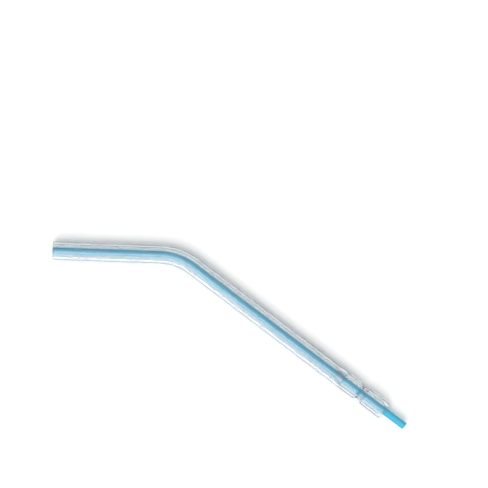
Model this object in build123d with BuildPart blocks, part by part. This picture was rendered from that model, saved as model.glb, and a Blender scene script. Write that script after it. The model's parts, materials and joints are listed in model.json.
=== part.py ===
from build123d import *
import os
from math import cos, radians, sin

# Disposable three-way (air and water) syringe tip, lying flat on its side.
# A clear outer tube carries air around a blue water tube, and a clear connector at its
# base snaps into the collet of a dental syringe.
#
# Frame: the origin is on the tube axis at the connector's rear face. +X runs along the
# long leg, from the connector towards the bend. The bent leg turns towards +Y, and +Z is up.

# Driving dimensions, in millimetres and degrees
tube_diameter = 4.0  # nominal shank size that syringe collets take
tube_wall = 0.65
core_diameter = 1.6  # water tube
core_bore_diameter = 0.8

connector_length = 11.2  # rear face to the butt joint with the outer tube
corner_distance = 55.8  # rear face to the corner where the two legs' axes meet
bent_leg_length = 27.2  # the same corner to the nozzle end
bend_angle = 35.2
bend_radius = 12.8
nipple_length = 5.5  # water tube standing out of the connector's rear face

rib_count = 3  # ribs that centre the water tube and part the air channels
rib_turn = 30.0  # angle of the first rib, from the plane of the bend
rib_thickness = 0.16
rib_root = 0.1  # how far a rib's foot reaches into its wall

groove_start = 5.3  # rear face to the rear lip of the retention groove
groove_rear_slope = 0.15  # steep side, which holds against a pull
groove_floor_width = 1.1
groove_front_slope = 0.75  # easy side
groove_depth = 0.48
groove_rounding = 0.15
rear_edge_radius = 0.3
joint_chamfer = 0.12  # on both sides of the butt joint, so that a fine V runs round it

connector_bore_diameter = 2.5
spigot_length = 1.5  # plugs into a socket in the outer tube's end
spigot_wall = 0.33
spigot_clearance = 0.02  # radial room for the bond
spigot_tip_clearance = 0.1
spigot_chamfer = 0.1
rib_recess = 0.8  # ribs stand back from the connector's rear face and the spigot's tip
air_inlet_chamfer = 0.3

nozzle_edge_radius = 0.4
core_edge_chamfer = 0.12
core_bore_chamfer = 0.1

# Derived dimensions
tube_radius = tube_diameter / 2
tube_bore_radius = tube_radius - tube_wall
core_radius = core_diameter / 2
core_bore_radius = core_bore_diameter / 2
connector_bore_radius = connector_bore_diameter / 2
spigot_radius = connector_bore_radius + spigot_wall
spigot_end = connector_length + spigot_length
socket_radius = spigot_radius + spigot_clearance
socket_depth = spigot_length + spigot_tip_clearance
neck_radius = tube_radius - groove_depth
groove_floor_start = groove_start + groove_rear_slope
groove_floor_end = groove_floor_start + groove_floor_width
groove_end = groove_floor_end + groove_front_slope
tube_spoke = tube_bore_radius + rib_root  # ribs are drawn as spokes from the axis outwards
connector_spoke = connector_bore_radius + rib_root

corner = Vector(corner_distance, 0)
bent_direction = Vector(cos(radians(bend_angle)), sin(radians(bend_angle)))
nozzle_end = corner + bent_direction * bent_leg_length


# Outer tube: one extrusion of wall and ribs, bent once. At the connector end its ribs are
# cut back and its bore is opened into a socket for the spigot
with BuildPart() as outer_tube:
    with BuildLine() as outer_path:
        FilletPolyline((connector_length, 0), corner, nozzle_end, radius=bend_radius)
    with BuildSketch(Plane.YZ.offset(connector_length)) as outer_section:
        Circle(tube_radius)
        Circle(tube_bore_radius, mode=Mode.SUBTRACT)
        with PolarLocations(tube_spoke / 2, rib_count, start_angle=rib_turn):
            Rectangle(tube_spoke, rib_thickness)
        Circle(core_radius, mode=Mode.SUBTRACT)
    sweep(path=outer_path.line)
    with BuildSketch(Plane.YZ.offset(connector_length)) as rib_relief:
        Circle(tube_bore_radius)
    extrude(amount=spigot_length + rib_recess, mode=Mode.SUBTRACT)
    with BuildSketch(Plane.YZ.offset(connector_length)) as socket:
        Circle(socket_radius)
    extrude(amount=socket_depth, mode=Mode.SUBTRACT)
    nozzle_face = outer_tube.faces().sort_by(Axis((0, 0, 0), bent_direction))[-1]
    fillet(nozzle_face.outer_wire().edges(), nozzle_edge_radius)
    joint_face = outer_tube.faces().filter_by(Plane.YZ).sort_by(Axis.X)[0]
    chamfer(joint_face.outer_wire().edges(), joint_chamfer)


# Water tube: one continuous tube from the nipple to the nozzle
with BuildPart() as water_tube:
    with BuildLine() as water_path:
        FilletPolyline((-nipple_length, 0), corner, nozzle_end, radius=bend_radius)
    with BuildSketch(Plane.YZ.offset(-nipple_length)) as water_section:
        Circle(core_radius)
        Circle(core_bore_radius, mode=Mode.SUBTRACT)
    sweep(path=water_path.line)
    nipple_face = water_tube.faces().sort_by(Axis.X)[0]
    chamfer(nipple_face.outer_wire().edges(), core_edge_chamfer)
    nipple_face = water_tube.faces().sort_by(Axis.X)[0]
    chamfer(nipple_face.inner_wires()[0].edges(), core_bore_chamfer)


# Connector: two lands with the retention groove between them, and a spigot in front
with BuildPart() as connector:
    with BuildSketch(Plane.XZ) as connector_section:
        with BuildLine():
            Polyline(
                (0, connector_bore_radius),
                (0, tube_radius),
                (groove_start, tube_radius),
                (groove_floor_start, neck_radius),
                (groove_floor_end, neck_radius),
                (groove_end, tube_radius),
                (connector_length, tube_radius),
                (connector_length, spigot_radius),
                (spigot_end, spigot_radius),
                (spigot_end, connector_bore_radius),
                close=True,
            )
        make_face()
        fillet(
            connector_section.vertices().filter_by_position(Axis.X, groove_start, groove_end),
            groove_rounding,
        )
        butt_corner = connector_section.vertices().group_by(Axis.X)[-2].sort_by(Axis.Y)[-1]
        chamfer(butt_corner, joint_chamfer)
    revolve(axis=Axis.X)

    rear_edges = connector.edges().group_by(Axis.X)[0].sort_by(SortBy.RADIUS)
    fillet(rear_edges[-1], rear_edge_radius)
    chamfer(rear_edges[0], air_inlet_chamfer)
    front_edges = connector.edges().group_by(Axis.X)[-1].sort_by(SortBy.RADIUS)
    chamfer(front_edges[-1], spigot_chamfer)

    with BuildSketch(Plane.YZ.offset(rib_recess)) as connector_ribs:
        with PolarLocations(connector_spoke / 2, rib_count, start_angle=rib_turn):
            Rectangle(connector_spoke, rib_thickness)
        Circle(core_radius, mode=Mode.SUBTRACT)
    extrude(amount=spigot_end - 2 * rib_recess)


outer_tube.part.label = "outer_tube"
water_tube.part.label = "water_tube"
connector.part.label = "connector"

os.makedirs("parts", exist_ok=True)
export_step(outer_tube.part, "parts/outer_tube.step")
export_step(water_tube.part, "parts/water_tube.step")
export_step(connector.part, "parts/connector.step")
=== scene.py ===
import json
from math import asin, atan2, cos, pi, radians, sin, tan

import bmesh
import bpy
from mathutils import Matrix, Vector


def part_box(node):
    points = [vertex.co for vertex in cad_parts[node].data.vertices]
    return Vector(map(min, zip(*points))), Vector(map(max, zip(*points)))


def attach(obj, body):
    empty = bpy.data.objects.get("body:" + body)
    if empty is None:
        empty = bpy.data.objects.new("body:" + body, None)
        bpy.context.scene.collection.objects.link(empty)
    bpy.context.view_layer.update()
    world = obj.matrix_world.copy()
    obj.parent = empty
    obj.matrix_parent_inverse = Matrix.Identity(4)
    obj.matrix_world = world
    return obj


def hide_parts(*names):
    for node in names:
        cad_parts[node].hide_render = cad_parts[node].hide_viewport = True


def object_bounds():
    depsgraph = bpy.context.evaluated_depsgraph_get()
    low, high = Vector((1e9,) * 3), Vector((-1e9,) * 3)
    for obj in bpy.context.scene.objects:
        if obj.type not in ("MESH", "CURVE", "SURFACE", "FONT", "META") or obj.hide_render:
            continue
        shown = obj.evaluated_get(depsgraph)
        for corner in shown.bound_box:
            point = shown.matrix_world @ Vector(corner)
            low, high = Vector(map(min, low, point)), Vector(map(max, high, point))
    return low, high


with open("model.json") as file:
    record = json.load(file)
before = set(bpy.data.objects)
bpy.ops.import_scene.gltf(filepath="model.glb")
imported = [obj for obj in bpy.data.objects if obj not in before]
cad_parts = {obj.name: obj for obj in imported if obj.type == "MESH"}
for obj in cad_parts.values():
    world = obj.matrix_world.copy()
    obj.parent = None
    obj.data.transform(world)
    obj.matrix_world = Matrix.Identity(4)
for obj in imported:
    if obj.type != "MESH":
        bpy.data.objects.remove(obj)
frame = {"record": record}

# A disposable air and water syringe tip: a clear bent tube and its clear grooved base
# round a blue water tube. Lengths are in metres, in the row's frame: the straight leg
# lies along X, the bent leg turns towards +Y, and +Z is up.

CAD_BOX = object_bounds()
MM = 0.001

# ---- Places and sizes from the frame ----
MOUNTS = {mount["name"]: mount for mount in frame["record"]["mounts"]}
TUBE_RADIUS = MOUNTS["syringe_shank"]["dims"]["r_mm"] * MM
CORE_RADIUS = MOUNTS["water_nipple"]["dims"]["r_mm"] * MM
NECK_RADIUS = MOUNTS["retention_groove"]["dims"]["r_mm"] * MM
GROOVE_FLOOR = MOUNTS["retention_groove"]["dims"]["length_mm"] * MM
GROOVE_MIDDLE = MOUNTS["retention_groove"]["pos_m"][0]
NOZZLE = Vector(MOUNTS["spray_nozzle"]["pos_m"])
SPRAY = Vector(MOUNTS["spray_nozzle"]["axis"])
NIPPLE_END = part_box("water_tube")[0].x
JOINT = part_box("outer_tube")[0].x
SPIGOT_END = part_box("connector")[1].x

# ---- Sizes that the frame doesn't state ----
BEND_RADIUS = 12.8 * MM
TUBE_BORE = 1.35 * MM
CORE_BORE = 0.4 * MM
BASE_BORE = 1.25 * MM
SPIGOT_RADIUS = 1.58 * MM
SOCKET_RADIUS = 1.6 * MM
SOCKET_DEPTH = 1.6 * MM
RIBS = 3
RIB_TURN = radians(30)  # the first rib's angle from the plane of the bend
RIB_THICKNESS = 0.16 * MM
RIB_GAP = 0.012 * MM  # keeps a rib's clear tip off the blue tube's surface
RIB_RECESS = 0.8 * MM
GROOVE_REAR_SLOPE = 0.15 * MM
GROOVE_FRONT_SLOPE = 0.75 * MM
GROOVE_ROUNDING = 0.15 * MM
JOINT_GAP = 0.02 * MM
JOINT_ROUNDING = 0.12 * MM
NOZZLE_ROUNDING = 0.4 * MM
REAR_ROUNDING = 0.3 * MM
INLET_ROUNDING = 0.3 * MM
SPIGOT_ROUNDING = 0.1 * MM
CORE_ROUNDING = 0.12 * MM
CORE_BORE_ROUNDING = 0.1 * MM

# ---- Fineness of the meshes ----
ARC_STEPS = 22  # between two ribs
TIP_STEPS = 4  # across a rib's tip
CORE_STEPS = 72
BEND_STEPS = 36
ROUND_STEPS = 6
SHARP_ANGLE = radians(32)

# ---- The bent axis ----
BEND_ANGLE = atan2(SPRAY.y, SPRAY.x)
CORNER = NOZZLE.x - NOZZLE.y / tan(BEND_ANGLE)
BEND_START = CORNER - BEND_RADIUS * tan(BEND_ANGLE / 2)
BEND_END = BEND_START + BEND_RADIUS * BEND_ANGLE
BENT_LEG = NOZZLE.y / sin(BEND_ANGLE) - BEND_RADIUS * tan(BEND_ANGLE / 2)
NOZZLE_END = BEND_END + BENT_LEG


def on_axis(along, side, up):
    """The place of a point of the straightened tip, once the tip is bent."""
    turn = min(max(along - BEND_START, 0) / BEND_RADIUS, BEND_ANGLE)
    beyond = max(along - BEND_END, 0)
    before = min(along, BEND_START)
    x = before + BEND_RADIUS * sin(turn) + beyond * cos(turn) - side * sin(turn)
    y = BEND_RADIUS * (1 - cos(turn)) + beyond * sin(turn) + side * cos(turn)
    return Vector((x, y, up))


def rounded(corners):
    """An outline through corners (along, radius, rounding), each one turned into an arc."""
    points = []
    for i, (along, radius, rounding) in enumerate(corners):
        corner = Vector((along, radius))
        if not rounding:
            points.append((along, radius))
            continue
        back = (Vector(corners[i - 1][:2]) - corner).normalized()
        ahead = (Vector(corners[(i + 1) % len(corners)][:2]) - corner).normalized()
        half_angle = back.angle(ahead) / 2
        middle = corner + (back + ahead).normalized() * rounding / sin(half_angle)
        start = corner + back * rounding / tan(half_angle) - middle
        end = corner + ahead * rounding / tan(half_angle) - middle
        for step in range(ROUND_STEPS + 1):
            spoke = start.slerp(end, step / ROUND_STEPS)
            points.append(tuple(middle + spoke * rounding))
    return points


def bend_stations():
    """Distances along the axis where a tube needs a ring to follow the bend."""
    step = (BEND_END - BEND_START) / BEND_STEPS
    return [BEND_START + step * i for i in range(BEND_STEPS + 1)]


def even_layout(steps):
    """Angles of a plain ring's points, as (plain angle, ribbed angle, is on a rib's tip)."""
    return [(2 * pi * i / steps,) * 2 + (False,) for i in range(steps)]


def ribbed_layout(bore, tip):
    """Angles of the points of a ring that can turn from a plain circle into a ribbed bore."""
    root_half = asin(RIB_THICKNESS / 2 / bore)
    tip_half = asin(RIB_THICKNESS / 2 / tip)
    sector = 2 * pi / RIBS
    layout = []
    for rib in range(RIBS):
        middle = rib * sector + RIB_TURN
        layout.append((middle - root_half, middle - root_half, False))
        for i in range(TIP_STEPS + 1):
            share = 2 * i / TIP_STEPS - 1
            layout.append((middle + share * root_half * 0.8, middle + share * tip_half, True))
        for i in range(ARC_STEPS):
            angle = middle + root_half + (sector - 2 * root_half) * i / ARC_STEPS
            layout.append((angle, angle, False))
    return layout


def turned_piece(name, profile, layout, tip=None):
    """A closed piece whose half-section runs round profile: (along, radius, is ribbed)."""
    mesh = bpy.data.meshes.new(name)
    bm = bmesh.new()
    straight = bm.verts.layers.float_vector.new("straight")
    rings = []
    for along, radius, ribbed in profile:
        ring = []
        for plain_angle, ribbed_angle, on_tip in layout:
            angle = ribbed_angle if ribbed else plain_angle
            reach = tip if ribbed and on_tip else radius
            side, up = reach * cos(angle), reach * sin(angle)
            vertex = bm.verts.new(on_axis(along, side, up))
            vertex[straight] = Vector((along, side, up))
            ring.append(vertex)
        rings.append(ring)
    count = len(layout)
    for first, second in zip(rings, rings[1:] + rings[:1]):
        for i in range(count):
            j = (i + 1) % count
            bm.faces.new((first[i], first[j], second[j], second[i]))
    bmesh.ops.remove_doubles(bm, verts=bm.verts, dist=1e-8)
    bmesh.ops.dissolve_degenerate(bm, edges=bm.edges, dist=1e-9)
    bmesh.ops.recalc_face_normals(bm, faces=bm.faces)
    for face in bm.faces:
        face.smooth = True
    bm.to_mesh(mesh)
    bm.free()
    mesh.set_sharp_from_angle(angle=SHARP_ANGLE)
    piece = bpy.data.objects.new(name, mesh)
    bpy.context.scene.collection.objects.link(piece)
    return piece


def as_profile(points, ribbed=False):
    return [(along, radius, ribbed) for along, radius in points]


# ---- The three pieces ----
def make_outer_tube():
    start = JOINT + JOINT_GAP
    socket_end = JOINT + SOCKET_DEPTH
    ribs_start = SPIGOT_END + RIB_RECESS
    bend = bend_stations()
    outside = [
        (start, SOCKET_RADIUS, 0),
        (start, TUBE_RADIUS, JOINT_ROUNDING),
        *((along, TUBE_RADIUS, 0) for along in bend),
        (NOZZLE_END, TUBE_RADIUS, NOZZLE_ROUNDING),
        (NOZZLE_END, TUBE_BORE, 0),
    ]
    inside = [(along, TUBE_BORE) for along in [NOZZLE_END] + bend[::-1] + [ribs_start]]
    socket = [(ribs_start, TUBE_BORE), (socket_end, TUBE_BORE), (socket_end, SOCKET_RADIUS)]
    tip = CORE_RADIUS + RIB_GAP
    profile = as_profile(rounded(outside)) + as_profile(inside, True) + as_profile(socket)
    return turned_piece("clear_tube", profile, ribbed_layout(TUBE_BORE, tip), tip)


def make_water_tube():
    bend = bend_stations()
    outline = [
        (NIPPLE_END, CORE_BORE, CORE_BORE_ROUNDING),
        (NIPPLE_END, CORE_RADIUS, CORE_ROUNDING),
        *((along, CORE_RADIUS, 0) for along in bend),
        (NOZZLE_END, CORE_RADIUS, CORE_ROUNDING),
        (NOZZLE_END, CORE_BORE, CORE_BORE_ROUNDING),
        *((along, CORE_BORE, 0) for along in bend[::-1]),
    ]
    return turned_piece("blue_water_tube", as_profile(rounded(outline)), even_layout(CORE_STEPS))


def make_connector():
    floor_start = GROOVE_MIDDLE - GROOVE_FLOOR / 2
    floor_end = GROOVE_MIDDLE + GROOVE_FLOOR / 2
    outline = [
        (0, BASE_BORE, INLET_ROUNDING),
        (0, TUBE_RADIUS, REAR_ROUNDING),
        (floor_start - GROOVE_REAR_SLOPE, TUBE_RADIUS, GROOVE_ROUNDING),
        (floor_start, NECK_RADIUS, GROOVE_ROUNDING),
        (floor_end, NECK_RADIUS, GROOVE_ROUNDING),
        (floor_end + GROOVE_FRONT_SLOPE, TUBE_RADIUS, GROOVE_ROUNDING),
        (JOINT, TUBE_RADIUS, JOINT_ROUNDING),
        (JOINT, SPIGOT_RADIUS, 0),
        (SPIGOT_END, SPIGOT_RADIUS, SPIGOT_ROUNDING),
        (SPIGOT_END, BASE_BORE, 0),
    ]
    rib_end = SPIGOT_END - RIB_RECESS
    profile = as_profile(rounded(outline)) + [
        (rib_end, BASE_BORE, False),
        (rib_end, BASE_BORE, True),
        (RIB_RECESS, BASE_BORE, True),
        (RIB_RECESS, BASE_BORE, False),
    ]
    tip = CORE_RADIUS + RIB_GAP
    return turned_piece("clear_connector", profile, ribbed_layout(BASE_BORE, tip), tip)


# ---- Materials ----
CLEAR_TINTS = (0.88, 0.949, 0.983), (0.90, 0.957, 0.987)
CLEAR_IOR = 1.485
CLEAR_HAZE = 0.015  # a trace of milkiness
BLUES = (0.026, 0.345, 0.51), (0.036, 0.385, 0.56)
BLUE_IOR = 1.5
DIE_LINE_DEPTH = 0.0002 * MM
MOULD_GRAIN_DEPTH = 0.0005 * MM
BLUE_GRAIN_DEPTH = 0.002 * MM
SEAM_HALF_WIDTH = 0.03 * MM
SEAM_HEIGHT = 8.0  # in mould grain depths
FLOOR_GREY = 0.9


def new_material(name):
    material = bpy.data.materials.new(name)
    material.use_nodes = True
    nodes, links = material.node_tree.nodes, material.node_tree.links
    return material, nodes, links, nodes["Principled BSDF"]


def straight_place(nodes):
    """The surface's place on the straightened tip, so that a texture follows the bend."""
    place = nodes.new("ShaderNodeAttribute")
    place.attribute_name = "straight"
    return place.outputs["Vector"]


def noise(nodes, links, along, across, detail=2.0):
    """Noise from 0 to 1, with so many grains a metre along the tip and across it."""
    mapping = nodes.new("ShaderNodeMapping")
    mapping.inputs["Scale"].default_value = (along, across, across)
    texture = nodes.new("ShaderNodeTexNoise")
    texture.inputs["Scale"].default_value = 1.0
    texture.inputs["Detail"].default_value = detail
    links.new(straight_place(nodes), mapping.inputs["Vector"])
    links.new(mapping.outputs["Vector"], texture.inputs["Vector"])
    return texture.outputs["Fac"]


def spread(nodes, links, value, start, end, low, high):
    """Maps value from the range start to end onto the range low to high."""
    node = nodes.new("ShaderNodeMapRange")
    node.inputs["From Min"].default_value = start
    node.inputs["From Max"].default_value = end
    node.inputs["To Min"].default_value = low
    node.inputs["To Max"].default_value = high
    links.new(value, node.inputs["Value"])
    return node.outputs["Result"]


def combine(nodes, links, operation, first, second):
    """A sum, product or the like of two values, each a socket or a plain number."""
    node = nodes.new("ShaderNodeMath")
    node.operation = operation
    for socket, value in zip(node.inputs, (first, second)):
        if isinstance(value, float):
            socket.default_value = value
        else:
            links.new(value, socket)
    return node.outputs["Value"]


def add_bump(nodes, links, shader, height, distance):
    """Raises the surface by height times distance, in its shading only."""
    bump = nodes.new("ShaderNodeBump")
    bump.inputs["Distance"].default_value = distance
    links.new(height, bump.inputs["Height"])
    links.new(bump.outputs["Normal"], shader.inputs["Normal"])


def colour_ramp(nodes, links, value, low, high):
    """The colour low where value is under 0.3, high where it is over 0.7, and a blend between."""
    ramp = nodes.new("ShaderNodeValToRGB")
    for element, position, colour in zip(ramp.color_ramp.elements, (0.3, 0.7), (low, high)):
        element.position = position
        element.color = (*colour, 1)
    links.new(value, ramp.inputs["Fac"])
    return ramp.outputs["Color"]


def clear_plastic(name):
    """Clear plastic whose faint blue tint is a little uneven along the piece."""
    material, nodes, links, shader = new_material(name)
    tint = colour_ramp(nodes, links, noise(nodes, links, 40, 300), *CLEAR_TINTS)
    links.new(tint, shader.inputs["Base Color"])
    shader.inputs["Transmission Weight"].default_value = 1 - CLEAR_HAZE
    shader.inputs["IOR"].default_value = CLEAR_IOR
    return material, nodes, links, shader


def extruded_clear():
    """The tube: fine die lines along it, and a few duller streaks from handling."""
    material, nodes, links, shader = clear_plastic("clear_tube_plastic")
    die_lines = noise(nodes, links, 3, 5000)
    handling = noise(nodes, links, 180, 450, detail=4.0)
    along_lines = spread(nodes, links, die_lines, 0.35, 0.65, 0.0, 0.015)
    where_held = spread(nodes, links, handling, 0.5, 0.75, 0.0, 0.02)
    dullness = combine(nodes, links, "ADD", along_lines, where_held)
    links.new(dullness, shader.inputs["Roughness"])
    add_bump(nodes, links, shader, die_lines, DIE_LINE_DEPTH)
    return material


def moulded_clear():
    """The connector: a fine mould texture, and a parting line along its two sides."""
    material, nodes, links, shader = clear_plastic("clear_base_plastic")
    grain = noise(nodes, links, 2500, 2500)
    links.new(spread(nodes, links, grain, 0.3, 0.7, 0.01, 0.04), shader.inputs["Roughness"])
    parts = nodes.new("ShaderNodeSeparateXYZ")
    links.new(straight_place(nodes), parts.inputs["Vector"])
    off_side = combine(nodes, links, "ABSOLUTE", parts.outputs["Z"], 0.0)
    seam = spread(nodes, links, off_side, 0.0, SEAM_HALF_WIDTH, SEAM_HEIGHT, 0.0)
    height = combine(nodes, links, "ADD", grain, seam)
    add_bump(nodes, links, shader, height, MOULD_GRAIN_DEPTH)
    return material


def pigmented_blue():
    """The water tube: faint lengthwise streaks of pigment under a satin surface."""
    material, nodes, links, shader = new_material("blue_core_plastic")
    streaks = noise(nodes, links, 12, 2600, detail=3.0)
    links.new(colour_ramp(nodes, links, streaks, *BLUES), shader.inputs["Base Color"])
    links.new(spread(nodes, links, streaks, 0.3, 0.7, 0.42, 0.55), shader.inputs["Roughness"])
    shader.inputs["IOR"].default_value = BLUE_IOR
    add_bump(nodes, links, shader, noise(nodes, links, 900, 2600), BLUE_GRAIN_DEPTH)
    return material


def paper_floor():
    material, _, _, shader = new_material("pale_floor")
    shader.inputs["Base Color"].default_value = (FLOOR_GREY, FLOOR_GREY, FLOOR_GREY, 1)
    shader.inputs["Roughness"].default_value = 0.9
    shader.inputs["Specular IOR Level"].default_value = 0.1
    return material


# ---- The object ----
tube = make_outer_tube()
tube.data.materials.append(extruded_clear())
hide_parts("outer_tube")

core = make_water_tube()
core.data.materials.append(pigmented_blue())
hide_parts("water_tube")

base = make_connector()
base.data.materials.append(moulded_clear())
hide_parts("connector")

for piece in (tube, core, base):
    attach(piece, "root")

# ---- The floor ----
FLOOR_HALF = 1.5
FLOOR_DROP = 0.01 * MM
floor_height = CAD_BOX[0][2] - FLOOR_DROP
floor_signs = (-1, -1), (1, -1), (1, 1), (-1, 1)
floor_corners = [(x * FLOOR_HALF, y * FLOOR_HALF, floor_height) for x, y in floor_signs]
floor_mesh = bpy.data.meshes.new("floor")
floor_mesh.from_pydata(floor_corners, [], [(0, 1, 2, 3)])
floor = bpy.data.objects.new("floor", floor_mesh)
bpy.context.scene.collection.objects.link(floor)
floor_mesh.materials.append(paper_floor())

# ---- The camera: straight above, with the long leg running to the lower right ----
VIEW_TURN = radians(-142.82)
VIEW_WIDTH = 105.5 * MM
VIEW_HEIGHT = 700 * MM
CLIP_START = 10 * MM
SENSOR = 36.0
VIEW_CENTRE = Vector((45.97 * MM, -10.41 * MM, 0))
camera_data = bpy.data.cameras.new("camera")
camera_data.sensor_width = SENSOR
camera_data.lens = SENSOR * VIEW_HEIGHT / VIEW_WIDTH
camera_data.clip_start = CLIP_START
camera = bpy.data.objects.new("camera", camera_data)
camera.location = VIEW_CENTRE + Vector((0, 0, VIEW_HEIGHT))
camera.rotation_euler = (0, 0, VIEW_TURN)
bpy.context.scene.collection.objects.link(camera)
bpy.context.scene.camera = camera


# ---- Light: a large soft key from below the picture, a weak fill, and pale surroundings ----
LIGHT_DISTANCE = 0.9


def area_light(name, azimuth, elevation, size, power):
    """A square light that faces the view's centre, its azimuth taken from the picture's right."""
    data = bpy.data.lights.new(name, "AREA")
    data.size = size
    data.energy = power
    light = bpy.data.objects.new(name, data)
    heading = radians(azimuth) + VIEW_TURN
    flat = Vector((cos(heading), sin(heading), 0))
    towards = flat * cos(radians(elevation)) + Vector((0, 0, sin(radians(elevation))))
    light.location = VIEW_CENTRE + towards * LIGHT_DISTANCE
    light.rotation_euler = towards.to_track_quat("Z", "Y").to_euler()
    bpy.context.scene.collection.objects.link(light)


area_light("key", azimuth=250, elevation=58, size=0.7, power=4.85)
area_light("fill", azimuth=70, elevation=32, size=0.4, power=0.6)

WHITE = (1, 1, 1, 1)
world = bpy.data.worlds.new("surroundings")
world.use_nodes = True
nodes, links = world.node_tree.nodes, world.node_tree.links
direction = nodes.new("ShaderNodeTexCoord")
parts = nodes.new("ShaderNodeSeparateXYZ")
links.new(direction.outputs["Generated"], parts.inputs["Vector"])
# The surroundings grow brighter towards the top, most of all straight above, and are a
# little darker on the side that the shadows fall to
dome = spread(nodes, links, parts.outputs["Z"], 0.0, 0.66, 0.4, 0.85)
overhead = spread(nodes, links, parts.outputs["Z"], 0.88, 0.97, 0.0, 1.0)
side = spread(nodes, links, parts.outputs["Y"], -0.7, 0.7, 0.75, 1.05)
above = combine(nodes, links, "ADD", dome, overhead)
brightness = combine(nodes, links, "MULTIPLY", above, side)
links.new(brightness, nodes["Background"].inputs["Strength"])
nodes["Background"].inputs["Color"].default_value = WHITE
bpy.context.scene.world = world
bpy.context.scene.view_settings.view_transform = "Standard"
